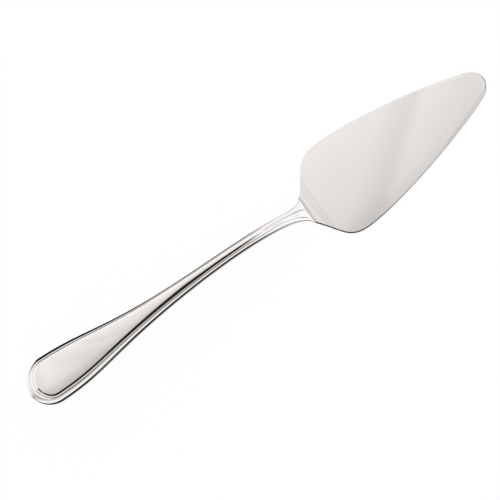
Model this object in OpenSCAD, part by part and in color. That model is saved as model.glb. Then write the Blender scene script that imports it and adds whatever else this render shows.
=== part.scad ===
// Cake server in polished stainless steel: a thin spade-shaped blade and a stamped handle with a
// bordered teardrop grip. A tang on the blade's heel lies in a pocket under the foot of the handle and
// is held there by weld metal, ground flush.
//
// Lengths run from the crease where the blade meets the handle: x forwards along the blade, and u
// backwards along the handle. The finished pieces are then moved so that the origin is in the middle of
// the blade's flat underside, with +X towards the tip and +Z up.

/* [Overall] */
// Overall length, from the end of the grip to the tip of the blade
total_len = 250; // [240:1:262]
// Length of the blade, from the crease to the tip
blade_len = 100; // [93:1:107]

/* [Blade] */
// Widest part of the blade
blade_w = 50.4; // [45:0.2:57]
// Thickness of the sheet
blade_t = 1.2; // [1:0.1:1.5]
// Distance from the crease to the widest part
shoulder_x = 20; // [17:0.5:24]
// Width at the crease, shared by the heel of the blade and the foot of the handle
heel_w = 15.6; // [14.4:0.2:17.8]
// Angle of the heel's sloping edges from the long axis
heel_angle = 53; // [48:1:62]
// Width where the rounded tip starts
tip_w = 16; // [14:0.5:20]
// Length of the rounded tip
tip_len = 6; // [5:0.5:8]
// Slope of the long edges where the rounded tip starts, in degrees
tip_angle = 25; // [19:1:29]
// Width of the shallow bevel round the tip
tip_bevel_w = 2.2; // [1.5:0.1:3]
// Drop of the bevel at the tip
bevel_drop = 0.1; // [0.05:0.01:0.2]
// Width of the softened upper edge along the sides
side_edge_w = 0.4; // [0.3:0.05:0.6]
// Width of the softened upper edge at the heel
heel_edge_w = 0.8; // [0.5:0.05:1]
// Length of the heel that curls up towards the crease
heel_bend = 6; // [4:0.5:9]
// Height that the heel gains at the crease
heel_rise = 0.35; // [0.2:0.05:0.6]

/* [Handle] */
// Widest part of the grip
grip_w = 25.4; // [21:0.2:29]
// Distance from the widest part of the grip to its end
grip_end_len = 11.5; // [10:0.5:15]
// Width of the neck where it is slimmest
neck_w = 6.3; // [5.6:0.1:7.4]
// Length of the flared foot of the neck
foot_len = 29; // [24:0.5:37]
// Angle of the foot's edges from the long axis, at the crease
foot_angle = 62; // [53:1:67]
// Height that the neck climbs above the blade
neck_rise = 14; // [11:0.1:18]
// Length over which the neck bends level
neck_bend = 21.4; // [16:0.1:26]
// Further height that the grip gains at its end
grip_lift = 7.6; // [4:0.1:12]
// Thickness of the neck
neck_t = 3; // [2.6:0.1:3.6]
// Length over which the foot thickens to the neck
foot_swell = 12; // [9:0.5:18]
// Thickness at the rim of the grip
rim_t = 2.4; // [2.1:0.1:3]
// Rounding of the lower edge
lower_round = 0.5; // [0.3:0.05:0.55]

/* [Border of the handle] */
// Width of the rolled bead at the widest part of the grip
grip_bead_w = 2.8; // [2.2:0.1:3.4]
// Width of the rolled bead on the neck
neck_bead_w = 1.55; // [1.25:0.05:1.8]
// Part of the bead's width that rises from the groove to its crest
rise_share = 0.23; // [0.15:0.01:0.3]
// Height of the bead's crest above the groove
bead_h = 0.11; // [0.06:0.01:0.18]
// Part of the handle's thickness by which the bead rolls down to its outer edge
roll_share = 0.53; // [0.4:0.01:0.58]
// Part of that roll that is left at the crease
crease_roll = 0.8; // [0.5:0.05:1]
// Width of the step down into the groove, as a part of the bead's width
step_share = 0.13; // [0.08:0.01:0.18]
// Depth of the same step
step_h = 0.13; // [0.06:0.01:0.2]
// Width of the flat ledge beside the step, as a part of the bead's width
ledge_share = 0.11; // [0.06:0.01:0.16]
// Width of the flank that rises to the panel, at the widest part of the grip
grip_flank_w = 0.72; // [0.5:0.02:1]
// Width of the same flank on the neck, where there is room for it
neck_flank_w = 1.15; // [0.85:0.05:1.5]
// Slope of the flank, in degrees
flank_angle = 47; // [38:1:54]
// Rise of the domed panel, for each millimetre of its half-width
dome_rate = 0.035; // [0.02:0.005:0.06]
// Length at the foot over which the bead and the groove fade out
border_fade = 2.5; // [1.5:0.5:6]
// Length at the foot over which the panel sinks to the bead
panel_fade = 24; // [18:1:32]

/* [Tang and weld] */
// Length of the tang under the foot
tang_len = 10; // [7:0.5:13]
// Width of the tang at the crease
tang_w = 6.8; // [6:0.2:7.6]
// Width of the tang at its end
tang_end_w = 2.6; // [2.2:0.1:3]
// Thickness of the tang
tang_t = 0.6; // [0.45:0.05:0.7]
// Width of the weld metal round the tang
weld_w = 0.7; // [0.5:0.05:0.8]
// Gap between the top of the tang and the pocket
lap_gap = 0.03; // [0.02:0.01:0.06]

/* [Hidden] */
handle_len = total_len - blade_len;
grip_hub = handle_len - grip_end_len;
tip_hub = blade_len - tip_len;
crease_z = heel_rise + blade_t / 2;
// How far each curve of an outline keeps its end directions, as a part of its length
heel_pull = 0.68;
shoulder_pull = 0.59;
side_pull = 0.24;
nose_pull = 0.22;
tip_pull = 0.5;
foot_pull = 0.19;
neck_pull = 0.28;
shank_pull = 0.7;
grip_pull = 0.27;
// The grip's lift gathers towards its end
lift_power = 3.6;
// Depth of the blade's softened edge, as a part of its width
edge_depth = 0.8;
// Width left between the softened edge and the flat where there is no bevel
edge_margin = 0.1;
// Part of the panel's half-width that is left flat along the middle
panel_core = 0.12;
// Part of the room inside the border that the flank may take
flank_room = 0.485;
// Steps of the curves
outline_steps = 12;
shank_steps = 20;
bead_steps = 7;
rise_steps = 3;
step_steps = 3;
panel_steps = 3;
round_steps = 3;
tang_steps = 10;
// How far the pocket's cutter reaches past the foot
overcut = 1;

// Curves

function ease(s) = let(c = min(max(s, 0), 1)) c * c * (3 - 2 * c);
function mix(a, b, s) = a + (b - a) * s;
function heading(angle) = [cos(angle), sin(angle)];
function bezier(p, t) =
    let(s = 1 - t)
    s * s * s * p[0] + 3 * s * s * t * p[1] + 3 * s * t * t * p[2] + t * t * t * p[3];
// Points along a curve without its first one, which the curve before it already has
function along(p, steps) = [for (k = [1 : steps]) bezier(p, k / steps)];

// Outlines of one half, as [distance from the crease, half-width]

blade_corner = [0, heel_w / 2];
blade_widest = [shoulder_x, blade_w / 2];
tip_start = [tip_hub, tip_w / 2];
heel_curve = [
    blade_corner,
    blade_corner + heel_pull * shoulder_x * heading(heel_angle),
    blade_widest - [shoulder_pull * shoulder_x, 0],
    blade_widest
];
edge_run = tip_hub - shoulder_x;
edge_curve = [
    blade_widest,
    blade_widest + [side_pull * edge_run, 0],
    tip_start - nose_pull * edge_run * heading(-tip_angle),
    tip_start
];
tip_curve = [
    tip_start,
    tip_start + tip_pull * tip_len * heading(-tip_angle),
    [blade_len, tip_pull * tip_w / 2],
    [blade_len, 0]
];
blade_outline = concat(
    [blade_corner],
    along(heel_curve, outline_steps),
    along(edge_curve, outline_steps),
    along(tip_curve, outline_steps)
);

neck_start = [foot_len, neck_w / 2];
grip_widest = [grip_hub, grip_w / 2];
foot_curve = [
    blade_corner,
    blade_corner + foot_pull * foot_len * heading(-foot_angle),
    neck_start - [(1 - neck_pull) * foot_len, 0],
    neck_start
];
shank_run = grip_hub - foot_len;
shank_curve = [
    neck_start,
    neck_start + [shank_pull * shank_run, 0],
    grip_widest - [grip_pull * shank_run, 0],
    grip_widest
];
handle_outline = concat(
    [blade_corner],
    along(foot_curve, outline_steps),
    along(shank_curve, shank_steps),
    [for (k = [1 : outline_steps])
        let(turn = 90 * k / outline_steps)
        [grip_hub + grip_end_len * sin(turn), grip_w / 2 * cos(turn)]]
);

// Heights

function heel_z(x) = heel_rise * pow(max(0, 1 - x / heel_bend), 2);
function handle_z(u) =
    crease_z
    + neck_rise * (1 - exp(-u / neck_bend))
    + grip_lift * pow(u / handle_len, lift_power);
function handle_t(u) =
    blade_t
    + (neck_t - blade_t) * ease(u / foot_swell)
    + (rim_t - neck_t) * ease((u - foot_len) / shank_run);
function handle_under(u) = handle_z(u) - handle_t(u) / 2;
// The bevel grows over the front half of the blade, from nothing to its full size at the tip
function bevel_share(x) = ease(2 * x / blade_len - 1);
// The softened edge narrows from the heel to the sides
function edge_at(x) = mix(heel_edge_w, side_edge_w, ease(x / shoulder_x / 2));

// A closed skin over half-rings. Each half-ring runs on the +y side from the top, near the axis, round
// the edge to the underside. The other side is its mirror image, the first ring is closed by a flat
// face, and the last ring lies on the axis itself.
module skin(rings) {
    count = len(rings);
    size = len(rings[0]);
    last = count - 1;
    centre = count * size * 2;
    middle = [for (axis = [0 : 2]) axis == 1 ? 0 : (rings[0][0][axis] + rings[0][size - 1][axis]) / 2];
    points = concat(
        [for (ring = rings) each ring],
        [for (ring = rings) for (p = ring) [p[0], -p[1], p[2]]],
        [middle]
    );
    function near(i, j) = i * size + j;
    function far(i, j) = i == last ? near(i, j) : (count + i) * size + j;
    function quad(a, b, c, d) = [[a, b, c], [a, c, d]];
    sides = [for (i = [0 : last - 1]) for (j = [0 : size - 2]) each concat(
        quad(near(i, j), near(i, j + 1), near(i + 1, j + 1), near(i + 1, j)),
        quad(far(i, j), far(i + 1, j), far(i + 1, j + 1), far(i, j + 1))
    )];
    seams = [for (i = [0 : last - 1]) each concat(
        quad(near(i, 0), near(i + 1, 0), far(i + 1, 0), far(i, 0)),
        quad(near(i, size - 1), far(i, size - 1), far(i + 1, size - 1), near(i + 1, size - 1))
    )];
    edge = concat([for (j = [0 : size - 1]) near(0, j)], [for (j = [size - 1 : -1 : 0]) far(0, j)]);
    cap = [for (k = [0 : len(edge) - 1]) [centre, edge[(k + 1) % len(edge)], edge[k]]];
    faces = [for (f = concat(sides, seams, cap)) if (f[0] != f[1] && f[1] != f[2] && f[2] != f[0]) f];
    polyhedron(points, faces);
}

// Moves a piece from the crease to the origin in the middle of the blade's underside
module from_crease() {
    translate([-blade_len / 2, 0, 0]) children();
}

// Blade

// One half-ring of the blade: the inside of the bevel, the softened upper edge and the lower edge
function blade_ring(p) =
    let(
        foot = [min(p[0], tip_hub), 0],
        inwards = (foot - p) / norm(foot - p),
        edge = edge_at(p[0]),
        inner = p + inwards * mix(edge + edge_margin, tip_bevel_w, bevel_share(p[0])),
        rim = p + inwards * edge,
        low = heel_z(p[0]),
        top = low + blade_t,
        drop = bevel_drop * bevel_share(p[0])
    )
    [
        [inner[0], inner[1], top],
        [rim[0], rim[1], top - drop],
        [p[0], p[1], top - drop - edge_depth * edge],
        [p[0], p[1], low]
    ];

// The strip under the foot of the handle, grown by the given amounts
module tang_strip(side = 0, end = 0, top = 0, under = 0, front = 0) {
    length = tang_len + end;
    function half_w(u) = mix(tang_w, tang_end_w, max(u, 0) / tang_len) / 2 + side;
    stations = concat(
        front > 0 ? [-front] : [],
        [for (k = [0 : tang_steps]) length * k / tang_steps]
    );
    last = len(stations) - 1;
    function corners(u) =
        let(low = handle_under(max(u, 0)))
        [
            [-u, -half_w(u), low - under],
            [-u, half_w(u), low - under],
            [-u, half_w(u), low + tang_t + top],
            [-u, -half_w(u), low + tang_t + top]
        ];
    polyhedron(
        [for (u = stations) each corners(u)],
        concat(
            [[0, 2, 1], [0, 3, 2]],
            [for (i = [0 : last - 1]) for (j = [0 : 3]) each
                let(a = 4 * i + j, b = 4 * i + (j + 1) % 4)
                [[a, b + 4, a + 4], [a, b, b + 4]]],
            [[4 * last, 4 * last + 1, 4 * last + 2], [4 * last, 4 * last + 2, 4 * last + 3]]
        )
    );
}

module blade() {
    color("gainsboro") from_crease() union() {
        skin([for (p = blade_outline) blade_ring(p)]);
        tang_strip();
    }
}

// Handle

// How far a half-width is from that of the neck, 0, to that of the grip, 1
function swell_at(w) = (w - neck_w / 2) / (grip_w / 2 - neck_w / 2);

// One half-ring of the handle: the domed panel, its flank, the ledge, the step into the groove, the
// rolled bead, the wall and the underside
function handle_ring(p) =
    let(
        foot = [min(p[0], grip_hub), 0],
        reach = norm(p - foot),
        out = (p - foot) / reach,
        w = p[0] > grip_hub ? grip_w / 2 : p[1],
        swell = swell_at(w),
        bead = mix(neck_bead_w, grip_bead_w, swell),
        rise = bead * rise_share,
        step = bead * step_share,
        ledge = bead * ledge_share,
        inside = w - bead - step - ledge,
        flank = min(mix(neck_flank_w, grip_flank_w, swell), inside * flank_room),
        panel = inside - flank,
        panel_reach = reach - w + panel,
        ledge_reach = panel_reach + flank,
        groove_reach = ledge_reach + ledge + step,
        fade = ease(p[0] / border_fade),
        groove = -bead_h * fade,
        shelf = groove + step_h * fade,
        shoulder = shelf + flank * tan(flank_angle) * ease(p[0] / panel_fade),
        dome = dome_rate * panel * fade,
        t = handle_t(p[0]),
        roll = roll_share * t * mix(crease_roll, 1, fade),
        profile = concat(
            [for (k = [0 : panel_steps])
                let(s = mix(panel_core, 1, k / panel_steps))
                [panel_reach * s, shoulder + dome * (1 - s * s)]],
            [[ledge_reach, shelf]],
            [for (k = [0 : step_steps - 1])
                let(s = k / step_steps)
                [ledge_reach + ledge + step * s, mix(shelf, groove, ease(s))]],
            [for (k = [0 : rise_steps - 1])
                let(s = k / rise_steps)
                [groove_reach + rise * s, groove * (1 - ease(s))]],
            [for (k = [0 : bead_steps])
                let(s = 90 * k / bead_steps)
                [reach - (bead - rise) * (1 - sin(s)), roll * (cos(s) - 1)]]
        ),
        under = concat(
            [for (k = [0 : round_steps])
                let(s = 90 * k / round_steps)
                [reach - lower_round * (1 - cos(s)), lower_round * (1 - sin(s))]],
            [[panel_reach * panel_core, 0]]
        )
    )
    concat(
        [for (d = profile)
            let(at = foot + out * d[0])
            [at[0], at[1], handle_z(at[0]) + t / 2 + d[1]]],
        [for (d = under)
            let(at = foot + out * d[0])
            [at[0], at[1], handle_z(at[0]) - t / 2 + d[1]]]
    );

module handle() {
    color("silver") from_crease() difference() {
        mirror([1, 0, 0]) skin([for (p = handle_outline) handle_ring(p)]);
        tang_strip(side = weld_w, end = weld_w, top = lap_gap, under = overcut, front = overcut);
    }
}

// Weld metal in the pocket, beside the tang and past its end

module weld_seam() {
    color("darkgray") from_crease() difference() {
        tang_strip(side = weld_w, end = weld_w);
        tang_strip(top = overcut, under = overcut, front = overcut);
    }
}

blade();
handle();
weld_seam();
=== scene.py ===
import math

import bmesh
import bpy
from bpy.props import FloatProperty, FloatVectorProperty, PointerProperty
from mathutils import Matrix, Vector


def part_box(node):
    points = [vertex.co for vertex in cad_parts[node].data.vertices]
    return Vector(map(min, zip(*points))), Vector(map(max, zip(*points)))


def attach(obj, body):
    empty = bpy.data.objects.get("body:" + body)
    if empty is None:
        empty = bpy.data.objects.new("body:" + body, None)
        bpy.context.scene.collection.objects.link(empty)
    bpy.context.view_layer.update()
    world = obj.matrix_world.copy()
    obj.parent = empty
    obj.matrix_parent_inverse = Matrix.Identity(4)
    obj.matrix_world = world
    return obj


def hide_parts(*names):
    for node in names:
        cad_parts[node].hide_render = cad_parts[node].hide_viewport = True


# A cake server in polished stainless steel: a spade-shaped blade of thin sheet and a stamped handle with
# a bordered teardrop grip, welded together under the foot of the handle.
#
# Lengths are in metres. On the blade x runs forwards from the crease where it meets the handle, and on
# the handle u runs backwards from the same crease. The frame's origin is in the middle of the blade.

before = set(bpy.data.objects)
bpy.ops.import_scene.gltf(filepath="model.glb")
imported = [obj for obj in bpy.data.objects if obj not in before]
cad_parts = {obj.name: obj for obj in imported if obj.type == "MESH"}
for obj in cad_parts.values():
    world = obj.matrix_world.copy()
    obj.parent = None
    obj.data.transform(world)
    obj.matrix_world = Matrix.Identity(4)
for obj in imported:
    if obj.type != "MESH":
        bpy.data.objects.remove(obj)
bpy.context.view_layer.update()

bl_info = {
    "name": "Cake server",
    "version": (1, 0, 0),
    "blender": (4, 5, 0),
    "location": "3D View > Sidebar > Cake server",
    "description": "Makes a polished stainless steel cake server and its white studio",
    "category": "Object",
}

MM = 0.001
BODY = "root"

# Kinds of node, and the settings of those that are used most
MATH = "ShaderNodeMath"
RANGE = "ShaderNodeMapRange"
MIX = "ShaderNodeMix"
RAMP = "ShaderNodeValToRGB"
VECTOR = "ShaderNodeVectorMath"
COMBINE = "ShaderNodeCombineXYZ"
SEPARATE = "ShaderNodeSeparateXYZ"
COORDINATES = "ShaderNodeTexCoord"
PLUS = (MATH, {"operation": "ADD"})
MINUS = (MATH, {"operation": "SUBTRACT"})
TIMES = (MATH, {"operation": "MULTIPLY"})
TIMES_PLUS = (MATH, {"operation": "MULTIPLY_ADD"})
OVER = (MATH, {"operation": "DIVIDE"})
POWER = (MATH, {"operation": "POWER"})
SMALLER = (MATH, {"operation": "MINIMUM"})
LARGER = (MATH, {"operation": "MAXIMUM"})
# A range node takes a value, its lowest and highest, and what it turns these two into
SMOOTH = (RANGE, {"interpolation_type": "SMOOTHSTEP"})
UNCLAMPED = (RANGE, {"clamp": False})
TINT = (MIX, {"data_type": "RGBA"})
SHADE = (MIX, {"data_type": "RGBA", "blend_type": "MULTIPLY"})
# Sockets of a mixing node, whose names repeat: its factor, two numbers, two colours and the mixed colour
FACTOR, FIRST, SECOND, COLOUR_A, COLOUR_B, MIXED = 0, 2, 3, 6, 7, 2

# Sizes that the frame gives
blade_low, blade_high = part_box("blade")
handle_low, handle_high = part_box("handle")
CREASE_X = -blade_high.x
BLADE_LENGTH = blade_high.x - CREASE_X
BLADE_WIDTH = blade_high.y - blade_low.y
HANDLE_LENGTH = CREASE_X - handle_low.x
GRIP_WIDTH = handle_high.y - handle_low.y

# How far each curve of an outline keeps its end directions, as a part of its length
HEEL_PULL = 0.68
SHOULDER_PULL = 0.59
SIDE_PULL = 0.24
NOSE_PULL = 0.22
TIP_PULL = 0.5
FOOT_PULL = 0.19
NECK_PULL = 0.28
SHANK_PULL = 0.7
GRIP_PULL = 0.27
# The same for a quarter of an ellipse
QUARTER_PULL = 0.5523

# Steps of the blade's outline and of its section
HEEL_STEPS = 60
EDGE_STEPS = 70
TIP_STEPS = 60
FLAT_STEPS = 12
BEVEL_STEPS = 4
ROUND_STEPS = 12
TANG_STEPS = 12

# Stations along the handle, and steps round its section for each part of the border
HANDLE_STATIONS = 440
SECTION_STEPS = {
    "panel": 10, "brow": 4, "flank": 5, "toe": 4, "ledge": 2, "step": 6,
    "rise": 6, "roll": 16, "wall": 2, "round": 5, "under": 4,
}

# The handle's sizes that its node tree takes in another form, or not at all
TURNED_SIZES = {
    "grip_width", "neck_width", "foot_angle", "rim_thickness", "flank_angle", "channel_angle",
    "end_swell", "foot_spread", "foot_sink",
}

# Depth of the blade's softened edge, as a part of its width, and how straight it falls, from 1 for round
# to 2 for straight
EDGE_DEPTH = 1.15
EDGE_POWER = 1.85
# A narrow strip of the flat beside the edge keeps the flat's shading even
EDGE_STRIP = 0.015 * MM
# Where the panel changes over to the foot's channel, its flanks draw together by this share of the room
# between them, and keep their width by this power of what is there of them
CLOSED_SHARE = 0.92
FLANK_KEEP = 0.2
# How far the tang reaches into the blade, and its pocket's cutter past the foot
TANG_ROOT = 0.5 * MM
POCKET_OVERCUT = 1 * MM
# Points of the outline's curve between two of its knots
OUTLINE_RESOLUTION = 200

# The attribute that says how far along the handle's outline a point lies, and how far from it
BUFF_ATTRIBUTE = "buffing"
# Painted shade at the crease: how much of the steel's colour shows at each distance from the crease,
# darker brownish right at the joint and in a slight band on the blade beside it, with two faint darker
# lines across the blade at 2.4 and 5.8 mm
HANDLE_CREASE_SHADE = ((0, "#CAC4C0"), (0.5 * MM, "#FFFFFF"))
BLADE_CREASE_SHADE_AND_LINES = (
    (0, "#CAC4C0"), (1 * MM, "#F2F1F0"), (1.8 * MM, "#FDFDFD"), (2.4 * MM, "#F6F6F6"),
    (3 * MM, "#FDFDFD"), (5.2 * MM, "#FDFDFD"), (5.8 * MM, "#F5F5F5"), (6.4 * MM, "#FFFFFF"),
)
CREASE_SHADE_REACH = 8 * MM
# Length of a polishing mark for its width, how far it changes the roughness, and how fine the marks of the
# buffing wheel and of the grinding belt are broken up
MARK_STRETCH = 40
ROUGHNESS_SPREAD = 0.2
BUFF_DETAIL = 2.0
GRIND_DETAIL = 3.0

# What the polished steel shows of the studio, by the angle in degrees from straight up towards the near
# side: first the greys of the white tent, then the part of its light that passes the dark card on the far
# side and the one on the near side.
TENT = (
    (-90, "#FFFFFF"), (-36, "#FCFCFC"), (-33, "#F8F8F8"), (-31, "#F2F2F2"), (-30, "#EEEEEE"),
    (-28, "#E8E8E8"), (-26.6, "#E5E5E5"), (-25.6, "#E2E2E2"), (-24.6, "#D8D8D8"), (-23, "#BABABA"),
    (-20, "#B0B0B0"), (-14, "#D5D5D5"), (-8, "#F7F7F7"), (-3, "#FFFFFF"), (5, "#EDEDED"),
    (13, "#FFFFFF"),
)
FAR_CARD = (
    (-90, "#FFFFFF"), (-86, "#9A9A9A"), (-82, "#303030"), (-76, "#141414"), (-38.5, "#101010"),
    (-36, "#505050"), (-33.5, "#FFFFFF"),
)
NEAR_CARD = (
    (17, "#FFFFFF"), (23, "#C8C8C8"), (28, "#787878"), (33, "#343434"), (36, "#262626"),
)
# Where the cards end along the server, as parts of a direction's length: towards the tip both are full
# before the first place and mostly gone after the second, and towards the grip's end the far one ends,
# while the near one bends round behind the grip
CARD_FRONT = (0.12, 0.44)
CARD_REAR = (-0.12, -0.04)
CARD_BEND = -0.6
# Where the tent turns plain white towards the tip, and that white
TENT_FRONT = (0.0, 0.4)
TENT_WHITE = "#FBFDFF"
# Low dark cards past the grip and past the tip: how much of the light each takes, and between which parts
# of a direction it starts
LOW_CARDS = (
    (0.92, {"X": (-0.5, -0.65), "Y": (0.42, 0.3), "Z": (0.56, 0.42)}),
    (0.5, {"X": (0.3, 0.5), "Z": (0.3, 0.08)}),
)
LOW_CARD_BLACK = "#000000"
# The far card lies lower past its front end, by this angle
FAR_DROP = math.radians(30)
# A seam of the tent that the blade shows, by the places where directions cross a plane one unit up: a
# point of the seam, how far it leans, and the shade at each distance from it
SEAM_X = -0.0395
SEAM_Y = 0.512
SEAM_LEAN = 0.39
SEAM_SHADE = (
    (-0.022, "#FBFBFB"), (-0.001, "#EEEEEE"), (0.005, "#FFFFFF"), (0.045, "#F3F3F3"),
    (0.09, "#FFFFFF"),
)

# The floor lies this far under the blade
FLOOR_GAP = 0.05 * MM

# Vertices closer than this are one vertex
MERGE = 0.001 * MM
# Edges that turn by more than this are drawn sharp
SHARP_ANGLE = math.radians(50)
# Half a turn in degrees
HALF_TURN = 180


def linear(code):
    """A colour written as an sRGB hex value, as linear red, green and blue"""
    parts = [int(code[k:k + 2], 16) / 255 for k in (1, 3, 5)]
    return [c / 12.92 if c <= 0.04045 else ((c + 0.055) / 1.055) ** 2.4 for c in parts]


def length(name, description, size):
    """A property that holds a length"""
    return FloatProperty(name=name, description=description, default=size, unit="LENGTH", precision=5)


def mm(name, description, size):
    """A property that holds a length, which is given in millimetres"""
    return length(name, description, size * MM)


def angle(name, description, degrees):
    """A property that holds an angle"""
    return FloatProperty(name=name, description=description, default=math.radians(degrees), subtype="ANGLE")


def share(name, description, value):
    """A property that holds a part of something else"""
    return FloatProperty(name=name, description=description, default=value, subtype="FACTOR")


def number(name, description, value):
    """A property that holds a plain number"""
    return FloatProperty(name=name, description=description, default=value)


def colour(name, description, code):
    """A property that holds a colour"""
    return FloatVectorProperty(name=name, description=description, default=linear(code), subtype="COLOR")


class BladeSizes(bpy.types.PropertyGroup):
    """Sizes of the blade and its tang"""

    length: length("Blade length", "From the crease to the tip", BLADE_LENGTH)
    width: length("Blade width", "Widest part of the blade", BLADE_WIDTH)
    thickness: mm("Sheet thickness", "Thickness of the sheet", 1.2)
    shoulder: mm("Shoulder", "From the crease to the widest part", 20)
    heel_width: mm("Heel width", "Width at the crease", 15.6)
    heel_angle: angle("Heel angle", "Slope of the heel's edges from the long axis", 53)
    tip_width: mm("Tip width", "Width where the rounded tip starts", 16)
    tip_length: mm("Tip length", "Length of the rounded tip", 6)
    tip_angle: angle("Tip angle", "Slope of the long edges where the tip starts", 25)
    bevel: mm("Bevel", "Width of the shallow bevel along the long edges", 1.2)
    crown: share("Crown", "Part of the thickness that the sheet loses towards its long edges", 0.2)
    tip_bevel: mm("Tip bevel", "Width of the bevel round the tip", 2.2)
    bevel_drop: mm("Bevel drop", "Drop of the bevel at the tip", 0.03)
    edge_round: mm("Edge rounding", "Width of the softened upper edge along the sides", 0.12)
    tip_round: mm("Tip rounding", "Width of the same edge round the tip", 0.42)
    heel_round: mm("Heel rounding", "Width of the softened upper edge at the heel", 0.5)
    lower_round: mm("Lower rounding", "Rounding of the lower edge", 0.6)
    heel_bend: mm("Heel bend", "Length of the heel that curls up to the crease", 6)
    heel_rise: mm("Heel rise", "Height that the heel gains at the crease", 0.35)
    tang_length: mm("Tang length", "Length of the tang under the foot", 10)
    tang_width: mm("Tang width", "Width of the tang at the crease", 6.8)
    tang_end: mm("Tang end", "Width of the tang at its end", 2.6)
    tang_thickness: mm("Tang thickness", "Thickness of the tang", 0.6)
    weld_width: mm("Weld width", "Width of the weld metal round the tang", 0.7)
    lap_gap: mm("Lap gap", "Gap between the tang and the top of its pocket", 0.03)


class HandleSizes(bpy.types.PropertyGroup):
    """Sizes of the handle and its border"""

    length: length("Handle length", "From the crease to the end of the grip", HANDLE_LENGTH)
    grip_width: length("Grip width", "Widest part of the grip", GRIP_WIDTH)
    grip_end: mm("Grip end", "From the widest part of the grip to its end", 11.5)
    neck_width: mm("Neck width", "Width of the neck where it is slimmest", 6.3)
    foot_length: mm("Foot length", "Length of the flared foot", 29)
    foot_angle: angle("Foot angle", "Slope of the foot's edges at the crease", 62)
    neck_rise: mm("Neck rise", "Height that the neck climbs above the blade", 14)
    neck_bend: mm("Neck bend", "Length over which the neck bends level", 21.4)
    grip_lift: mm("Grip lift", "Further height that the grip gains at its end", 7.8)
    lift_power: number("Lift power", "How much the lift gathers towards the end", 3.6)
    neck_thickness: mm("Neck thickness", "Thickness of the neck", 3)
    foot_swell: mm("Foot swell", "Length over which the foot thickens to the neck", 12)
    rim_thickness: mm("Rim thickness", "Thickness at the rim of the grip", 2.4)
    lower_share: share("Lower share", "Part of the thickness that the lower edge is rounded by", 0.5)
    grip_bead: mm("Grip bead", "Width of the rolled bead on the grip", 2.38)
    end_swell: share("End swell", "Part by which the bead widens at the end of the grip", 0.32)
    end_steepness: number("End steepness", "How much steeper the flank is at the end of the grip", 1.1)
    neck_bead: mm("Neck bead", "Width of the rolled bead on the neck", 1.345)
    rise_share: share("Rise share", "Part of the bead's width that rises from the groove", 0.1)
    bead_height: mm("Bead height", "Height of the bead's crest above the groove", 0.04)
    roll_depth: mm("Roll depth", "Height that the bead rolls down to the edge", 1.13)
    roll_share: share("Roll share", "Most of the thickness that this roll takes", 0.47)
    crease_roll: share("Crease roll", "Part of that roll that is left at the crease", 0.8)
    step_share: share("Step share", "Width of the step into the groove, of the bead's width", 0.18)
    step_height: mm("Step height", "Depth of the same step", 0.28)
    ledge_share: share("Ledge share", "Width of the ledge beside the step, of the bead's width", 0.24)
    grip_flank: mm("Grip flank", "Width of the flank up to the panel, on the grip", 0.8)
    neck_flank: mm("Neck flank", "Width of the same flank on the neck", 1.2)
    flank_angle: angle("Flank angle", "Slope of the flank", 33)
    flank_corner: share("Flank corner", "Part of the flank's width that each soft corner takes", 0.01)
    flank_room: share("Flank room", "Most of the inner width that the flank takes", 0.6)
    grip_dome: share("Grip dome", "Rise of the panel, of the handle's half-width, on the grip", 0.0136)
    neck_dome: share("Neck dome", "Rise of the panel, of the handle's half-width, on the neck", 0.0041)
    border_fade: mm("Border fade", "Length at the foot where the bead fades out", 2.5)
    foot_spread: share("Foot spread", "Part by which the bead is wider beside the foot's channel", 0.3)
    foot_sink: share("Foot sink", "Width of the flank down to the foot's channel, of the panel's flank", 1)
    channel_angle: angle("Channel angle", "Slope of the flank down to that channel", 30)
    channel_fade: mm("Channel fade", "Length at the crease where that channel fades out", 6)
    channel_end: mm("Channel end", "From the crease to where the channel starts to rise", 4)
    panel_start: mm("Panel start", "From the crease to where the panel has risen", 38)


class SteelColours(bpy.types.PropertyGroup):
    """Colours and finishes of the steel"""

    polished: colour("Polished steel", "Colour of the polished steel", "#E4E0DD")
    weld: colour("Weld metal", "Colour of the ground weld metal", "#CEC9C1")
    heat: colour("Heat tint", "Straw tint beside the weld", "#BFB094")
    handle_roughness: share("Handle roughness", "Roughness of the buffed handle", 0.06)
    blade_roughness: share("Blade roughness", "Roughness of the buffed blade", 0.035)
    weld_roughness: share("Weld roughness", "Roughness of the ground weld", 0.38)
    buff_width: mm("Buffing width", "Spacing of the soft marks that the buffing wheel leaves", 1.6)
    buff_depth: mm("Buffing depth", "Depth of the same marks", 0.0006)
    grind_width: mm("Grinding width", "Spacing of the scratches on the weld", 0.25)
    grind_depth: mm("Grinding depth", "Depth of the same scratches", 0.01)
    heat_width: mm("Heat width", "Size of the patches of heat tint", 5)


class StudioSettings(bpy.types.PropertyGroup):
    """Camera, floor and surroundings"""

    elevation: angle("Elevation", "Angle of the camera above the floor", 62)
    yaw: angle("Yaw", "Turn of the camera round the server, towards the tip", 13)
    roll: angle("Roll", "Turn of the picture that sets the server across it", 48.61)
    distance: length("Distance", "Distance of the camera from its target", 1.2)
    target_x: mm("Target x", "Place along the server that the camera looks at", -82.1)
    target_y: mm("Target y", "Place across the server that the camera looks at", 2.1)
    lens: number("Lens", "Focal length in millimetres", 188.6)
    floor_size: length("Floor size", "Side of the floor", 6.0)
    floor_front: mm("Floor front", "From the blade's middle to where the floor also dims", 30)
    floor_fall: mm("Floor fall", "Distance over which the floor dims towards the near card", 20)
    shadow: share("Shadow", "Part of the floor's white that the server's shadow takes away", 0.08)
    white: colour("White", "Colour of the floor and the background", "#FFFFFF")
    card_haze: share("Card haze", "Part of the dark cards that still shows past their front ends", 0.35)
    light: number("Light", "Strength of the light panels in the steel", 1.3)


class CakeServerSettings(bpy.types.PropertyGroup):
    """All settings of the cake server"""

    blade: PointerProperty(type=BladeSizes)
    handle: PointerProperty(type=HandleSizes)
    steel: PointerProperty(type=SteelColours)
    studio: PointerProperty(type=StudioSettings)


# Shared helpers


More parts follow.
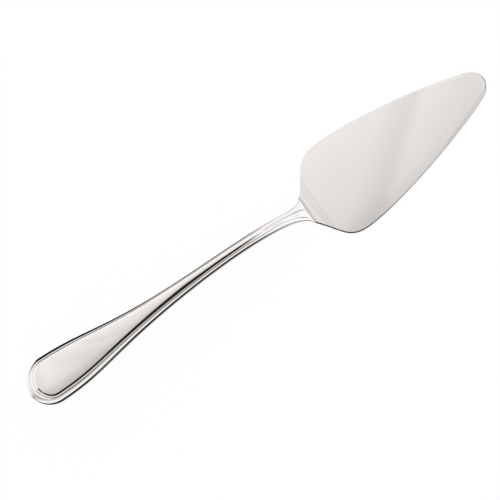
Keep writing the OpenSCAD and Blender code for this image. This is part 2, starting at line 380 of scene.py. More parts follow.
def add(tree, kind, *inputs, **settings):
    """Adds a node, named alone or with its usual settings, and links or sets its inputs, given in order or
    by name in one dictionary"""
    kind, usual = kind if isinstance(kind, tuple) else (kind, {})
    made = tree.nodes.new(kind)
    for name, value in {**usual, **settings}.items():
        setattr(made, name, value)
    by_name = inputs and isinstance(inputs[0], dict)
    for key, value in inputs[0].items() if by_name else enumerate(inputs):
        for source in value if isinstance(value, list) else [value]:
            if isinstance(source, bpy.types.Node):
                source = source.outputs[0]
            if isinstance(source, bpy.types.NodeSocket):
                tree.links.new(source, made.inputs[key])
            else:
                made.inputs[key].default_value = source
    return made


def ease(s):
    """A smooth step from 0 to 1"""
    s = min(max(s, 0), 1)
    return s * s * (3 - 2 * s)


def mix(a, b, s):
    """The value that lies the part s of the way from a to b"""
    return a + (b - a) * s


def heading(turn):
    """A direction in the plane of an outline"""
    return Vector((math.cos(turn), math.sin(turn)))


def bezier(points, t):
    """A point of a cubic curve"""
    a, b, c, d = points
    s = 1 - t
    return s * s * s * a + 3 * s * s * t * b + 3 * s * t * t * c + t * t * t * d


def handle_height(handle, blade, u):
    """Height of the middle of the handle's thickness, at its axis"""
    crease = blade.heel_rise + blade.thickness / 2
    climb = handle.neck_rise * (1 - math.exp(-u / handle.neck_bend))
    return crease + climb + handle.grip_lift * (u / handle.length) ** handle.lift_power


def foot_underside(handle, blade, u):
    """Height of the handle's underside near the crease"""
    thickness = mix(blade.thickness, handle.neck_thickness, ease(u / handle.foot_swell))
    return handle_height(handle, blade, u) - thickness / 2


def new_object(name, data):
    """Puts new data in the scene as an object at the origin"""
    made = bpy.data.objects.new(name, data)
    bpy.context.scene.collection.objects.link(made)
    return made


def object_of_rings(name, rings):
    """A closed solid from closed rings of points, with a flat face on the first ring and on the last"""
    mesh = bmesh.new()
    loops = [[mesh.verts.new(point) for point in ring] for ring in rings]
    count = len(rings[0])
    for here, there in zip(loops, loops[1:]):
        for k in range(count):
            after = (k + 1) % count
            mesh.faces.new((here[k], here[after], there[after], there[k]))
    mesh.faces.new(loops[0])
    mesh.faces.new(loops[-1])
    bmesh.ops.remove_doubles(mesh, verts=mesh.verts[:], dist=MERGE)
    bmesh.ops.recalc_face_normals(mesh, faces=mesh.faces[:])
    data = bpy.data.meshes.new(name)
    mesh.to_mesh(data)
    mesh.free()
    return new_object(name, data)


def applied(source, name):
    """A plain mesh of an object with its modifiers, which takes the object's place"""
    bpy.context.view_layer.update()
    evaluated = source.evaluated_get(bpy.context.evaluated_depsgraph_get())
    data = bpy.data.meshes.new_from_object(evaluated)
    bpy.data.objects.remove(source)
    data.name = name
    return new_object(name, data)


def joined(piece, tool, operation):
    """The piece united with the tool or cut by it, as a plain mesh"""
    modifier = piece.modifiers.new("joint", "BOOLEAN")
    modifier.operation = operation
    modifier.solver = "EXACT"
    modifier.object = tool
    made = applied(piece, piece.name)
    bpy.data.objects.remove(tool)
    return made


def finish_piece(piece, node, material):
    """Shades a finished piece smoothly between its sharp edges, and puts it in the place of its node"""
    piece.name = node + "_polished"
    data = piece.data
    data.materials.clear()
    data.materials.append(material)
    data.polygons.foreach_set("use_smooth", [True] * len(data.polygons))
    data.set_sharp_from_angle(angle=SHARP_ANGLE)
    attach(piece, BODY)
    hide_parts(node)


def tang_strip(name, blade, handle, side=0, end=0, top=0, under=0, front=0):
    """The strip under the foot of the handle, grown by the given amounts"""
    stations = [-front] + [(blade.tang_length + end) * k / TANG_STEPS for k in range(TANG_STEPS + 1)]
    rings = []
    for u in stations:
        part = max(u, 0) / blade.tang_length
        half = mix(blade.tang_width, blade.tang_end, part) / 2 + side
        low = foot_underside(handle, blade, max(u, 0))
        high = low + blade.tang_thickness + top
        x = CREASE_X - u
        rings.append([(x, -half, low - under), (x, half, low - under), (x, half, high), (x, -half, high)])
    return object_of_rings(name, rings)


def filled(node, stops, low, high):
    """A colour ramp's node with its stops set, whose places are given between low and high"""
    ramp = node.color_ramp
    while len(ramp.elements) < len(stops):
        ramp.elements.new(0.5)
    for stop, (where, code) in zip(ramp.elements, stops):
        stop.position = (where - low) / (high - low)
        stop.color = (*linear(code), 1)
    return node


# Materials


def bare_metal(name):
    """A new material of bare metal, with its node tree and its shader"""
    material = bpy.data.materials.new(name)
    material.use_nodes = True
    shader = material.node_tree.nodes["Principled BSDF"]
    shader.inputs["Metallic"].default_value = 1
    return material, material.node_tree, shader


def worked_surface(tree, shader, point, width, depth, detail):
    """The marks of a wheel or a belt on a metal, long in x and of the given width and depth"""
    spacing = (1 / (MARK_STRETCH * width), 1 / width, 1 / width)
    grain = add(tree, VECTOR, point, spacing, operation="MULTIPLY")
    marks = add(tree, "ShaderNodeTexNoise", {"Vector": grain, "Scale": 1.0, "Detail": detail})
    bump = add(tree, "ShaderNodeBump", {"Height": marks, "Distance": depth})
    tree.links.new(bump.outputs[0], shader.inputs["Normal"])
    return marks


def buffed_steel(name, steel, roughness, place, joint):
    """Stainless steel, polished on a buffing wheel: a mirror with a soft edge to what it shows, broken by
    long faint marks that follow the wheel. place names the node and its output that say how far along the
    marks and how far across them a point lies, and joint the painted shade that darkens the steel's colour
    at the crease."""
    material, tree, shader = bare_metal(name)
    # Painted shade: the base colour is darkened by the crease ramp near where the handle meets the blade
    spot = add(tree, SEPARATE, add(tree, COORDINATES).outputs["Object"]).outputs
    off = add(tree, MINUS, spot["X"], CREASE_X)
    off = add(tree, MATH, off, operation="ABSOLUTE")
    off = add(tree, RANGE, off, 0, CREASE_SHADE_REACH)
    left = filled(add(tree, RAMP, off), joint, 0, CREASE_SHADE_REACH)
    shown = add(tree, SHADE, {FACTOR: 1.0, COLOUR_A: (*steel.polished, 1), COLOUR_B: left})
    tree.links.new(shown.outputs[MIXED], shader.inputs["Base Color"])
    kind, output = place
    point = add(tree, kind).outputs[output]
    marks = worked_surface(tree, shader, point, steel.buff_width, steel.buff_depth, BUFF_DETAIL)
    low, high = (1 - ROUGHNESS_SPREAD) * roughness, (1 + ROUGHNESS_SPREAD) * roughness
    polish = add(tree, RANGE, marks, 0, 1, low, high)
    tree.links.new(polish.outputs[0], shader.inputs["Roughness"])
    return material


def ground_weld(steel):
    """Weld metal, ground flush on a belt: a duller grey with fine straight scratches, and a trace of the
    straw tint that heat leaves"""
    material, tree, shader = bare_metal("Ground weld metal")
    shader.inputs["Roughness"].default_value = steel.weld_roughness
    point = add(tree, COORDINATES).outputs["Object"]
    worked_surface(tree, shader, point, steel.grind_width, steel.grind_depth, GRIND_DETAIL)
    clouds = add(tree, "ShaderNodeTexNoise", {"Vector": point, "Scale": 1 / steel.heat_width})
    tint = add(tree, RAMP, clouds)
    tint.color_ramp.elements[0].color = (*steel.weld, 1)
    tint.color_ramp.elements[1].color = (*steel.heat, 1)
    tree.links.new(tint.outputs[0], shader.inputs["Base Color"])
    return material


# Blade


def blade_outline(blade):
    """Points of one half of the blade's outline, from the crease to the tip"""
    corner = Vector((0, blade.heel_width / 2))
    widest = Vector((blade.shoulder, blade.width / 2))
    tip_start = Vector((blade.length - blade.tip_length, blade.tip_width / 2))
    tip = Vector((blade.length, 0))
    edge_run = tip_start.x - widest.x
    nose = heading(-blade.tip_angle)
    heel_out = corner + HEEL_PULL * blade.shoulder * heading(blade.heel_angle)
    shoulder_in = widest - Vector((SHOULDER_PULL * blade.shoulder, 0))
    side_out = widest + Vector((SIDE_PULL * edge_run, 0))
    nose_in = tip_start - NOSE_PULL * edge_run * nose
    tip_out = tip_start + TIP_PULL * blade.tip_length * nose
    tip_in = Vector((blade.length, TIP_PULL * blade.tip_width / 2))
    curves = (
        (HEEL_STEPS, corner, heel_out, shoulder_in, widest),
        (EDGE_STEPS, widest, side_out, nose_in, tip_start),
        (TIP_STEPS, tip_start, tip_out, tip_in, tip),
    )
    points = [corner]
    for steps, *curve in curves:
        points += [bezier(curve, k / steps) for k in range(1, steps + 1)]
    return points


def blade_section(blade, point, lean):
    """Half of the blade's section at a point of its outline, as distances from the axis along the spoke
    to that point, and heights: the flat, the bevel, the softened edge and the underside. lean is the part
    of a width along the spoke that lies across the outline."""
    hub = blade.length - blade.tip_length
    reach = math.hypot(max(point.x - hub, 0), point.y)
    front = ease(2 * point.x / blade.length - 1)
    rounding = mix(blade.heel_round, blade.edge_round, ease(point.x / (2 * blade.shoulder)))
    rounding = mix(rounding, blade.tip_round, front**2)
    depth = EDGE_DEPTH * rounding
    rounding = min(rounding / lean, reach)
    bevel = min(max(mix(blade.bevel, blade.tip_bevel, front), rounding + 2 * EDGE_STRIP), reach)
    drop = blade.bevel_drop * front
    turn_in = bevel - rounding
    top = blade.thickness
    section = [((reach - bevel - EDGE_STRIP) * k / FLAT_STEPS, top) for k in range(FLAT_STEPS + 1)]
    section += [
        (reach - bevel + (turn_in - EDGE_STRIP) * k / BEVEL_STEPS, top - drop * k / BEVEL_STEPS)
        for k in range(BEVEL_STEPS + 1)
    ]
    turns = [math.pi / 2 * k / ROUND_STEPS for k in range(ROUND_STEPS + 1)]
    for turn in turns:
        outwards = math.sin(turn) ** EDGE_POWER
        left = max(math.cos(turn), 0) ** EDGE_POWER
        section.append((reach - rounding * (1 - outwards), top - drop - depth * (1 - left)))
    for turn in turns:
        inwards = min(blade.lower_round * (1 - math.cos(turn)), reach)
        section.append((reach - inwards, blade.lower_round * (1 - math.sin(turn))))
    section.append((0, 0))
    return section


def blade_ring(blade, before, point, after):
    """A closed ring of the blade's surface through a point of its outline, with the points beside it"""
    hub = Vector((min(point.x, blade.length - blade.tip_length), 0))
    out = (point - hub).normalized()
    run = (after - before).normalized()
    lean = abs(run.x * out.y - run.y * out.x)
    curl = blade.heel_rise * max(0, 1 - point.x / blade.heel_bend) ** 2
    half = []
    for distance, height in blade_section(blade, point, lean):
        at = hub + out * distance
        thinning = blade.crown * (2 * at.y / blade.width) ** 2
        half.append((CREASE_X + at.x, at.y, curl + height * (1 - thinning)))
    mirrored = [(x, -y, z) for x, y, z in reversed(half[1:-1])]
    return half + mirrored


class MakeBlade(bpy.types.Operator):
    """Make the blade of rolled sheet, with its curled heel and its tang"""

    bl_idname = "cake_server.make_blade"
    bl_label = "Make blade"
    bl_options = {"REGISTER", "UNDO"}

    def execute(self, context):
        settings = context.scene.cake_server
        blade = settings.blade
        points = blade_outline(blade)
        neighbours = zip(points[:1] + points, points, points[1:] + points[-1:])
        piece = object_of_rings("blade_sheet", [blade_ring(blade, *three) for three in neighbours])
        tang = tang_strip("tang", blade, settings.handle, front=TANG_ROOT)
        piece = joined(piece, tang, "UNION")
        steel = settings.steel
        # The last item is the painted shade at the crease, with the two faint lines
        finish = (steel.blade_roughness, (COORDINATES, "Object"), BLADE_CREASE_SHADE_AND_LINES)
        material = buffed_steel("Polished stainless sheet", steel, *finish)
        finish_piece(piece, "blade", material)
        return {"FINISHED"}


# Handle


def handle_outline(handle, blade):
    """One half of the handle's outline as a curve, from the crease to the end of the grip"""
    corner = Vector((0, blade.heel_width / 2, 0))
    neck = Vector((handle.foot_length, handle.neck_width / 2, 0))
    widest = Vector((handle.length - handle.grip_end, handle.grip_width / 2, 0))
    end = Vector((handle.length, 0, 0))
    along = Vector((1, 0, 0))
    shank = widest.x - neck.x
    foot_pull = FOOT_PULL * handle.foot_length * heading(-handle.foot_angle).to_3d()
    knots = (
        (corner, corner, corner + foot_pull),
        (neck, neck - (1 - NECK_PULL) * handle.foot_length * along, neck + SHANK_PULL * shank * along),
        (widest, widest - GRIP_PULL * shank * along, widest + QUARTER_PULL * handle.grip_end * along),
        (end, end + Vector((0, QUARTER_PULL * widest.y, 0)), end),
    )
    data = bpy.data.curves.new("handle_outline", "CURVE")
    data.dimensions = "3D"
    data.resolution_u = OUTLINE_RESOLUTION
    spline = data.splines.new("BEZIER")
    spline.bezier_points.add(len(knots) - 1)
    for knot, (place, before, after) in zip(spline.bezier_points, knots):
        knot.handle_left_type = knot.handle_right_type = "FREE"
        knot.co = place
        knot.handle_left = before
        knot.handle_right = after
    return new_object("handle_outline", data)


def border_widths(tree, size, half, beyond, raised):
    """Widths of the border's parts where the handle has the given half-width, or lies beyond the widest
    part of the grip. raised is the part of the flank's width that is there, below 0 where the flank goes
    down to the foot's channel."""
    swell = (half, size["Neck half-width"], size["Grip half-width"])
    bead, wanted, rate = (
        add(tree, UNCLAMPED, *swell, size["Neck " + name], size["Grip " + name])
        for name in ("bead", "flank", "dome")
    )
    widening, steepness = (
        add(tree, SMOOTH, beyond, 0, size["Grip end"], 1, size[name])
        for name in ("End swell", "End steepness")
    )
    spread = add(tree, RANGE, raised, -1, 0, size["Foot bead"], 1)
    for factor in (widening, spread):
        bead = add(tree, TIMES, bead, factor)
    rise, step, ledge = (
        add(tree, TIMES, bead, size[name]) for name in ("Rise share", "Step share", "Ledge share")
    )
    edging = add(tree, PLUS, bead, step)
    edging = add(tree, PLUS, edging, ledge)
    inside = add(tree, MINUS, half, edging)
    room = add(tree, TIMES, inside, size["Flank room"])
    flank = add(tree, SMALLER, wanted, room)
    flank = add(tree, OVER, flank, steepness)
    there = add(tree, MATH, raised, operation="ABSOLUTE")
    kept = add(tree, POWER, there, FLANK_KEEP)
    flank = add(tree, TIMES, flank, kept)
    free = add(tree, MINUS, inside, flank)
    closing = add(tree, MINUS, 1.0, there)
    free = add(tree, TIMES, free, closing)
    ledge, edging = (add(tree, TIMES_PLUS, free, CLOSED_SHARE, width) for width in (ledge, edging))
    return {
        "roll": add(tree, MINUS, bead, rise),
        "rise": rise,
        "step": step,
        "ledge": ledge,
        "flank": flank,
        "steepness": steepness,
        "dome": add(tree, TIMES, half, rate),
        "border": add(tree, PLUS, edging, flank),
    }


def section_zones(tree, around):
    """How far a point has come through each part of the section, from 0 to 1"""
    zones = {}
    start = 0
    for name, steps in SECTION_STEPS.items():
        zones[name] = add(tree, RANGE, around, start, start + steps)
        start += steps
    fast = add(tree, TIMES, zones["panel"], 2.0)
    slow = add(tree, POWER, zones["panel"], 2.0)
    zones["panel"] = add(tree, MINUS, fast, slow)
    for name in ("step", "rise"):
        zones[name + " eased"] = add(tree, SMOOTH, zones[name])
    for name in ("roll", "round"):
        turn = add(tree, TIMES, zones[name], math.pi / 2)
        cosine = add(tree, MATH, turn, operation="COSINE")
        zones[name + " sine"] = add(tree, MATH, turn, operation="SINE")
        zones[name + " dip"] = add(tree, MINUS, 1.0, cosine)
    for name in ("panel", "brow", "toe"):
        zones[name + " squared"] = add(tree, POWER, zones[name], 2.0)
    zones["toe dip"] = add(tree, TIMES_PLUS, zones["toe squared"], -0.5, zones["toe"])
    return zones


def handle_tree(sizes, material):
    """The node tree that stamps the handle: a grid whose one side follows the outline and whose other
    side goes round the section, from the panel over the border to the underside"""
    tree = bpy.data.node_groups.new("Stamped handle", "GeometryNodeTree")
    sockets = tree.interface
    sockets.new_socket("Outline", in_out="INPUT", socket_type="NodeSocketGeometry")
    for name in sizes:
        sockets.new_socket(name, in_out="INPUT", socket_type="NodeSocketFloat")
    sockets.new_socket("Handle", in_out="OUTPUT", socket_type="NodeSocketGeometry")
    size = add(tree, "NodeGroupInput").outputs

    # Each point of a grid one unit wide has a place along the outline and a place round the section
    steps = sum(SECTION_STEPS.values())
    grid = add(tree, "GeometryNodeMeshGrid", 1.0, 1.0, HANDLE_STATIONS, steps + 1)
    place = add(tree, SEPARATE, add(tree, "GeometryNodeInputPosition")).outputs
    along = add(tree, PLUS, place["X"], 0.5)
    around = add(tree, RANGE, place["Y"], -0.5, 0.5, 0, steps)
    zone = section_zones(tree, around)
    sampled = {"Curves": size["Outline"], "Factor": along}
    edge = add(tree, "GeometryNodeSampleCurve", sampled, mode="FACTOR").outputs["Position"]
    edge = add(tree, SEPARATE, edge).outputs
    u = edge["X"]

    # A spoke runs from the axis to the outline, and past the widest part of the grip all spokes share
    # one hub
    hub = add(tree, SMALLER, u, size["Grip hub"])
    beyond = add(tree, MINUS, u, hub)
    spoke = add(tree, COMBINE, beyond, edge["Y"], 0.0)
    reach = add(tree, VECTOR, spoke, operation="LENGTH").outputs["Value"]
    out = add(tree, VECTOR, spoke, operation="NORMALIZE")
    rounded = add(tree, MATH, beyond, MERGE, operation="GREATER_THAN")
    half = add(tree, MIX, {FACTOR: rounded, FIRST: edge["Y"], SECOND: size["Grip half-width"]})

    # How far the border and the foot's channel have grown from the crease, and the panel from the channel
    fade = add(tree, SMOOTH, u, 0, size["Border fade"])
    sunk = add(tree, SMOOTH, u, 0, size["Channel fade"], 0, size["Foot height"])
    raised = add(tree, SMOOTH, u, size["Channel end"], size["Panel start"], sunk)
    width = border_widths(tree, size, half, beyond, raised)
    panel_reach = add(tree, MINUS, reach, width["border"])

    # Thickness
    swollen = add(tree, SMOOTH, u, 0, size["Foot swell"], size["Sheet thickness"], size["Neck thickness"])
    thinning = add(tree, SMOOTH, u, size["Foot length"], size["Grip hub"], 0, size["Rim thinning"])
    thickness = add(tree, MINUS, swollen, thinning)
    rolling = add(tree, RANGE, fade, 0, 1, size["Crease roll"])
    roll = add(tree, TIMES, thickness, size["Roll share"])
    roll = add(tree, SMALLER, roll, size["Roll depth"])
    roll = add(tree, TIMES, roll, rolling)
    lower = add(tree, TIMES, thickness, size["Lower share"])

    # Distance from the axis along the spoke
    corner = add(tree, TIMES, width["flank"], size["Flank corner"])
    straight = add(tree, TIMES_PLUS, corner, -2.0, width["flank"])
    distance = 0.0
    outwards = {
        "panel": panel_reach,
        "brow": corner,
        "flank": straight,
        "toe": corner,
        "ledge": width["ledge"],
        "step": width["step"],
        "rise": width["rise"],
        "roll sine": width["roll"],
    }
    for name, amount in outwards.items():
        distance = add(tree, TIMES_PLUS, amount, zone[name], distance)
    under_reach = add(tree, MINUS, reach, lower)
    for name, amount in (("round dip", lower), ("under", under_reach)):
        inwards = add(tree, TIMES, amount, zone[name])
        distance = add(tree, MINUS, distance, inwards)

    # Height above the handle's middle surface. The flank is straight between two soft corners.
    dome = add(tree, TIMES, width["dome"], fade)
    crown = add(tree, MINUS, 1.0, zone["panel squared"])
    bead = add(tree, TIMES, size["Bead height"], fade)
    step = add(tree, TIMES, size["Step height"], fade)
    corner_left = add(tree, MINUS, 1.0, size["Flank corner"])
    climbing = add(tree, MATH, raised, 0.0, operation="GREATER_THAN")
    slope = add(tree, MIX, {FACTOR: climbing, FIRST: size["Channel slope"], SECOND: size["Flank slope"]})
    slope = add(tree, TIMES, slope, width["steepness"])
    slope = add(tree, OVER, slope, corner_left)
    corner_fall = add(tree, TIMES, corner, slope)
    brow_fall = add(tree, TIMES, corner_fall, 0.5)
    flank_fall = add(tree, TIMES, straight, slope)
    panel_height = add(tree, MINUS, step, bead)
    for fall in (corner_fall, flank_fall):
        panel_height = add(tree, PLUS, panel_height, fall)
    wall = add(tree, MINUS, thickness, roll)
    wall = add(tree, MINUS, wall, lower)
    height = add(tree, TIMES_PLUS, thickness, 0.5, panel_height)
    for amount, part in ((dome, crown), (bead, zone["rise eased"])):
        height = add(tree, TIMES_PLUS, amount, part, height)
    downwards = {
        "brow squared": brow_fall,
        "flank": flank_fall,
        "toe dip": corner_fall,
        "step eased": step,
        "roll dip": roll,
        "wall": wall,
        "round sine": lower,
    }
    for name, amount in downwards.items():
        fall = add(tree, TIMES, amount, zone[name])
        height = add(tree, MINUS, height, fall)

    # The middle surface climbs from the crease to the neck, and lifts again at the end of the grip
    axis = add(tree, COMBINE, hub, 0.0, 0.0)
    flat = add(tree, VECTOR, out, distance, axis, operation="MULTIPLY_ADD")
    flat = add(tree, SEPARATE, flat).outputs
    bend = add(tree, OVER, flat["X"], size["Neck bend"])
    left = add(tree, POWER, 1 / math.e, bend)
    climbed = add(tree, MINUS, 1.0, left)
    part = add(tree, OVER, flat["X"], size["Handle length"])
    lifted = add(tree, POWER, part, size["Lift power"])
    for amount, share_here in ((size["Neck rise"], climbed), (size["Grip lift"], lifted)):
        height = add(tree, TIMES_PLUS, amount, share_here, height)
    height = add(tree, PLUS, height, size["Crease height"])
    x = add(tree, MINUS, size["Crease place"], flat["X"])
    position = add(tree, COMBINE, x, flat["Y"], height)
    skin = add(tree, "GeometryNodeSetPosition", {"Geometry": grid, "Position": position})

    # How far along the outline a point lies and how far from it, for the marks of the buffing wheel
    run = add(tree, "GeometryNodeCurveLength", size["Outline"])
    run = add(tree, TIMES, run, along)
    inset = add(tree, MINUS, reach, distance)
    marked = {"Geometry": skin, "Name": BUFF_ATTRIBUTE, "Value": add(tree, COMBINE, run, inset, 0.0)}
    stored = add(tree, "GeometryNodeStoreNamedAttribute", marked, data_type="FLOAT_VECTOR")

    # The other half is a mirror image
    mirrored = add(tree, "GeometryNodeTransform", {"Geometry": stored, "Scale": (1, -1, 1)})
    turned = add(tree, "GeometryNodeFlipFaces", mirrored)
    both = add(tree, "GeometryNodeJoinGeometry", [stored, turned])
    whole = add(tree, "GeometryNodeMergeByDistance", {"Geometry": both, "Distance": MERGE})
    real = add(tree, "GeometryNodeRealizeInstances", whole)
    shown = add(tree, "GeometryNodeSetMaterial", {"Geometry": real, "Material": material})
    add(tree, "NodeGroupOutput", shown)
    return tree


def stamped_handle(handle, blade, material):
    """The handle's closed skin, from its outline and the node tree"""
    known = handle.bl_rna.properties
    taken = [key for key in HandleSizes.__annotations__ if key not in TURNED_SIZES]
    sizes = {known[key].name: getattr(handle, key) for key in taken}
    sizes |= {
        "Grip hub": handle.length - handle.grip_end,
        "Grip half-width": handle.grip_width / 2,
        "Neck half-width": handle.neck_width / 2,
        "Sheet thickness": blade.thickness,
        "Rim thinning": handle.neck_thickness - handle.rim_thickness,
        "Crease height": blade.heel_rise + blade.thickness / 2,
        "Crease place": CREASE_X,
        "End swell": 1 + handle.end_swell,
        "Flank slope": math.tan(handle.flank_angle),
        "Channel slope": -math.tan(handle.channel_angle),
        "Foot height": -handle.foot_sink,
        "Foot bead": 1 + handle.foot_spread,
    }
    outline = handle_outline(handle, blade)
    modifier = outline.modifiers.new("stamping", "NODES")
    modifier.node_group = handle_tree(sizes, material)
    for item in modifier.node_group.interface.items_tree:
        if item.in_out == "INPUT" and item.name in sizes:
            modifier[item.identifier] = sizes[item.name]
    skin = applied(outline, "handle_stamping")
    mesh = bmesh.new()
    mesh.from_mesh(skin.data)
    bmesh.ops.holes_fill(mesh, edges=[e for e in mesh.edges if e.is_boundary])
    bmesh.ops.recalc_face_normals(mesh, faces=mesh.faces[:])
    mesh.to_mesh(skin.data)
    mesh.free()
    return skin


class MakeHandle(bpy.types.Operator):
    """Make the stamped handle with its border, and the pocket for the tang under its foot"""

    bl_idname = "cake_server.make_handle"
    bl_label = "Make handle"
    bl_options = {"REGISTER", "UNDO"}

    def execute(self, context):
        settings = context.scene.cake_server
        blade = settings.blade
        steel = settings.steel
        place = (("ShaderNodeAttribute", {"attribute_name": BUFF_ATTRIBUTE}), "Vector")
        # The last item is the painted shade at the crease
        finish = (steel.handle_roughness, place, HANDLE_CREASE_SHADE)
        material = buffed_steel("Polished stainless stamping", steel, *finish)
        piece = stamped_handle(settings.handle, blade, material)
        if not piece.data.polygons:
            raise RuntimeError("the handle's node tree made no faces")
        room = {"side": blade.weld_width, "end": blade.weld_width, "top": blade.lap_gap}
        past = {"under": POCKET_OVERCUT, "front": POCKET_OVERCUT}
        pocket = tang_strip("pocket", blade, settings.handle, **room, **past)
        piece = joined(piece, pocket, "DIFFERENCE")
        finish_piece(piece, "handle", material)
        return {"FINISHED"}


# Weld


class FinishWeld(bpy.types.Operator):
    """Give the weld metal under the foot its ground finish"""

    bl_idname = "cake_server.finish_weld"
    bl_label = "Finish weld"
    bl_options = {"REGISTER", "UNDO"}

    def execute(self, context):
        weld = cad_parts["weld_seam"]
        weld.data.materials.clear()
        weld.data.materials.append(ground_weld(context.scene.cake_server.steel))
        return {"FINISHED"}


# Stage


def studio_floor(studio):
    """A white floor that keeps a faint shadow of the server. In the steel it dims towards the near card
    and past the tip."""
    half = studio.floor_size / 2
    data = bpy.data.meshes.new("studio_floor")
    corners = [(-half, -half, 0), (half, -half, 0), (half, half, 0), (-half, half, 0)]
    data.from_pydata(corners, [], [range(len(corners))])
    material = bpy.data.materials.new("White studio floor")
    material.use_nodes = True
    tree = material.node_tree
    tree.nodes.clear()
    place = add(tree, SEPARATE, add(tree, COORDINATES).outputs["Object"]).outputs
    past_tip = add(tree, MINUS, place["X"], studio.floor_front)
    past_tip = add(tree, LARGER, past_tip, 0.0)
    nearer = add(tree, MINUS, place["Y"], past_tip)
    falling = add(tree, OVER, nearer, studio.floor_fall)
    dimmed = add(tree, POWER, math.e, falling)
    dimmed = add(tree, SMALLER, dimmed, 1.0)
    dimmed = add(tree, TIMES, dimmed, studio.light)
    path = add(tree, "ShaderNodeLightPath").outputs
    strength = add(tree, MIX, {FACTOR: path["Is Glossy Ray"], FIRST: 1.0, SECOND: dimmed})
    glow = add(tree, "ShaderNodeEmission", (*studio.white, 1), strength)
    paint = add(tree, "ShaderNodeBsdfDiffuse", (*studio.white, 1))
    seen = add(tree, LARGER, path["Is Camera Ray"], path["Is Glossy Ray"])
    seen = add(tree, LARGER, seen, path["Is Transmission Ray"])
    lit = add(tree, TIMES, seen, 1 - studio.shadow)
    surface = add(tree, "ShaderNodeMixShader", lit, paint, glow)
    add(tree, "ShaderNodeOutputMaterial", surface)
    data.materials.append(material)
    floor = new_object("studio_floor", data)
    floor.location.z = -FLOOR_GAP


def studio_surroundings(studio):
    """White for the camera and for soft light. Polished steel shows a white tent with a seam, a dark card
    along each side of the server and a low one past each of its ends."""
    world = bpy.data.worlds.new("White studio")
    world.use_nodes = True
    world.cycles.sampling_method = "NONE"
    tree = world.node_tree
    tree.nodes.clear()
    part = add(tree, SEPARATE, add(tree, COORDINATES).outputs["Generated"]).outputs
    front, rear, plainer = (
        add(tree, SMOOTH, part["X"], *limits) for limits in (CARD_FRONT, CARD_REAR, TENT_FRONT)
    )
    nearer = add(tree, TIMES, part["Y"], -1.0)
    behind = add(tree, MINUS, CARD_BEND, part["X"])
    behind = add(tree, LARGER, behind, 0.0)
    bent = add(tree, PLUS, nearer, behind)
    lower = add(tree, TIMES, front, FAR_DROP)
    bands = []
    for across, drop, stops in ((nearer, 0.0, TENT), (nearer, lower, FAR_CARD), (bent, 0.0, NEAR_CARD)):
        leaning = add(tree, MATH, across, part["Z"], operation="ARCTAN2")
        leaning = add(tree, PLUS, leaning, drop)
        place = add(tree, RANGE, leaning, -math.pi, math.pi)
        bands.append(filled(add(tree, RAMP, place), stops, -HALF_TURN, HALF_TURN))
    tent, far, near = bands
    seam_x, seam_y = (add(tree, OVER, part[axis], part["Z"]) for axis in ("X", "Y"))
    seam = add(tree, TIMES_PLUS, seam_y, -SEAM_LEAN, seam_x)
    seam = add(tree, MINUS, seam, SEAM_X - SEAM_LEAN * SEAM_Y)
    seam_low, seam_high = SEAM_SHADE[0][0], SEAM_SHADE[-1][0]
    seam = add(tree, RANGE, seam, seam_low, seam_high)
    shade = filled(add(tree, RAMP, seam), SEAM_SHADE, seam_low, seam_high)
    near_extent = add(tree, RANGE, front, 0, 1, 1, studio.card_haze)
    far_extent = add(tree, TIMES, near_extent, rear)
    white = (*linear(TENT_WHITE), 1)
    panels = add(tree, TINT, {FACTOR: plainer, COLOUR_A: tent, COLOUR_B: white}).outputs[MIXED]
    layers = [(1.0, shade), (far_extent, far), (near_extent, near)]
    for extent, edges in LOW_CARDS:
        for axis, limits in edges.items():
            edge = add(tree, SMOOTH, part[axis], *limits)
            extent = add(tree, TIMES, extent, edge)
        layers.append((extent, (*linear(LOW_CARD_BLACK), 1)))
    for extent, layer in layers:
        panels = add(tree, SHADE, {FACTOR: extent, COLOUR_A: panels, COLOUR_B: layer}).outputs[MIXED]
    studio_light = add(tree, "ShaderNodeBackground", panels, studio.light)
    plain = add(tree, "ShaderNodeBackground", (*studio.white, 1), 1.0)
    path = add(tree, "ShaderNodeLightPath").outputs
    shiny = add(tree, LARGER, path["Is Glossy Ray"], path["Is Transmission Ray"])
    surface = add(tree, "ShaderNodeMixShader", shiny, plain, studio_light)
    add(tree, "ShaderNodeOutputWorld", surface)
    bpy.context.scene.world = world


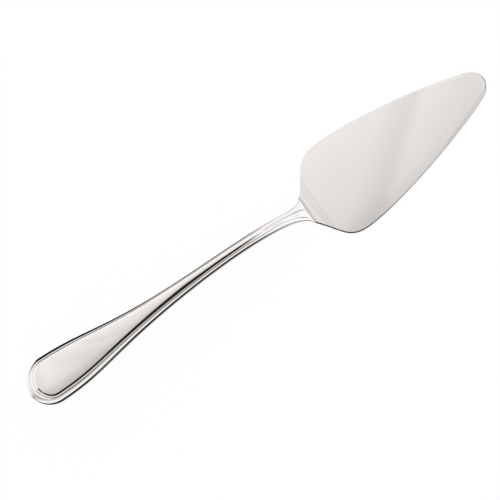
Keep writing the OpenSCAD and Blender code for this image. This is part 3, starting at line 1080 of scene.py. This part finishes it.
def studio_camera(studio):
    """The camera, above the near side of the blade, rolled so that the server lies across the picture"""
    flat, high = studio.yaw, studio.elevation
    across = Vector((math.cos(flat), math.sin(flat), 0))
    back = Vector((math.sin(flat) * math.cos(high), -math.cos(flat) * math.cos(high), math.sin(high)))
    up = back.cross(across)
    turn_cos, turn_sin = math.cos(studio.roll), math.sin(studio.roll)
    right = turn_cos * across - turn_sin * up
    top = turn_sin * across + turn_cos * up
    data = bpy.data.cameras.new("camera")
    data.lens = studio.lens
    camera = new_object("camera", data)
    target = Vector((studio.target_x, studio.target_y, 0))
    rotation = Matrix((right, top, back)).transposed()
    camera.matrix_world = Matrix.Translation(target + studio.distance * back) @ rotation.to_4x4()
    bpy.context.scene.camera = camera


class MakeStage(bpy.types.Operator):
    """Make the white floor, the surroundings and the camera"""

    bl_idname = "cake_server.make_stage"
    bl_label = "Make stage"
    bl_options = {"REGISTER", "UNDO"}

    def execute(self, context):
        studio = context.scene.cake_server.studio
        studio_floor(studio)
        studio_surroundings(studio)
        studio_camera(studio)
        context.scene.view_settings.view_transform = "Standard"
        return {"FINISHED"}


# Sidebar and registration

OPERATORS = (MakeBlade, MakeHandle, FinishWeld, MakeStage)


class CakeServerPanel(bpy.types.Panel):
    """The cake server's sizes, colours and steps"""

    bl_idname = "VIEW3D_PT_cake_server"
    bl_label = "Cake server"
    bl_space_type = "VIEW_3D"
    bl_region_type = "UI"
    bl_category = "Cake server"

    def draw(self, context):
        settings = context.scene.cake_server
        for group in (settings.blade, settings.handle, settings.steel, settings.studio):
            column = self.layout.column(align=True)
            for name in group.__annotations__:
                column.prop(group, name)
        for operator in OPERATORS:
            self.layout.operator(operator.bl_idname)


SETTINGS = (BladeSizes, HandleSizes, SteelColours, StudioSettings, CakeServerSettings)
CLASSES = (*SETTINGS, *OPERATORS, CakeServerPanel)


def register():
    for each in CLASSES:
        bpy.utils.register_class(each)
    bpy.types.Scene.cake_server = PointerProperty(type=CakeServerSettings)


def unregister():
    del bpy.types.Scene.cake_server
    for each in reversed(CLASSES):
        bpy.utils.unregister_class(each)


def main():
    """Makes the cake server in its studio"""
    register()
    bpy.ops.cake_server.make_blade()
    bpy.ops.cake_server.make_handle()
    bpy.ops.cake_server.finish_weld()
    bpy.ops.cake_server.make_stage()


if __name__ == "__main__":
    main()
